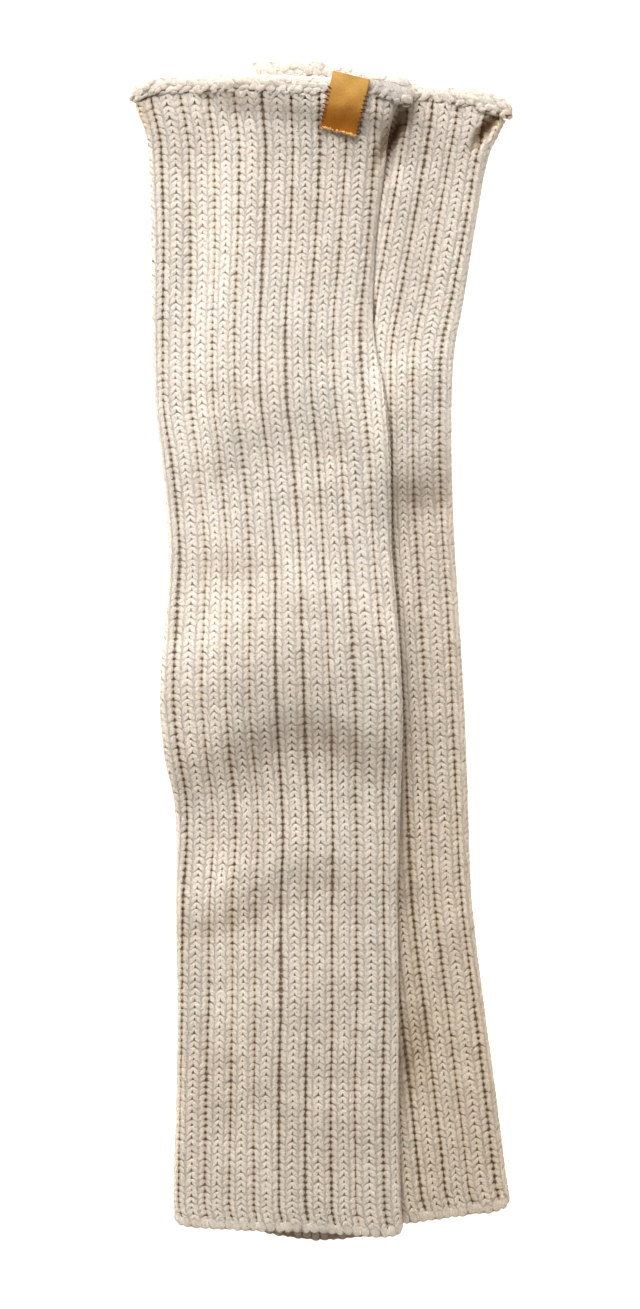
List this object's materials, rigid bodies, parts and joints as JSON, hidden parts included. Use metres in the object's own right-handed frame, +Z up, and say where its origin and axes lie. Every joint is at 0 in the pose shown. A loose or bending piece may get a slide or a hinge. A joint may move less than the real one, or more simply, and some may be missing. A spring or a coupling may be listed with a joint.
{
  "type": "pair of leg warmers",
  "caption": "Pair of thick rib-knit leg warmers laid flat, one lying partly over the other, with rolled top edges and a small bare leather label.",
  "frame": {"origin": "middle of the pair's footprint, on the surface that it lies on", "axes": "+Y from the hems to the rolled top edges, +X to the right across the legs, +Z up from the surface"},
  "size_m": [0.1924, 0.5883, 0.0219],
  "materials": {
    "oatmeal_knit": "heather oatmeal wool in thick rib knit, matt with a soft nap",
    "label_leather": "tan vegetable-tanned leather, satin, with darker edges"
  },
  "bodies": {
    "root": {"left_leg_tube": "oatmeal_knit", "left_rolled_edge": "oatmeal_knit", "right_leg_tube": "oatmeal_knit", "right_rolled_edge": "oatmeal_knit", "leather_label": "label_leather"}
  },
  "joints": []
}
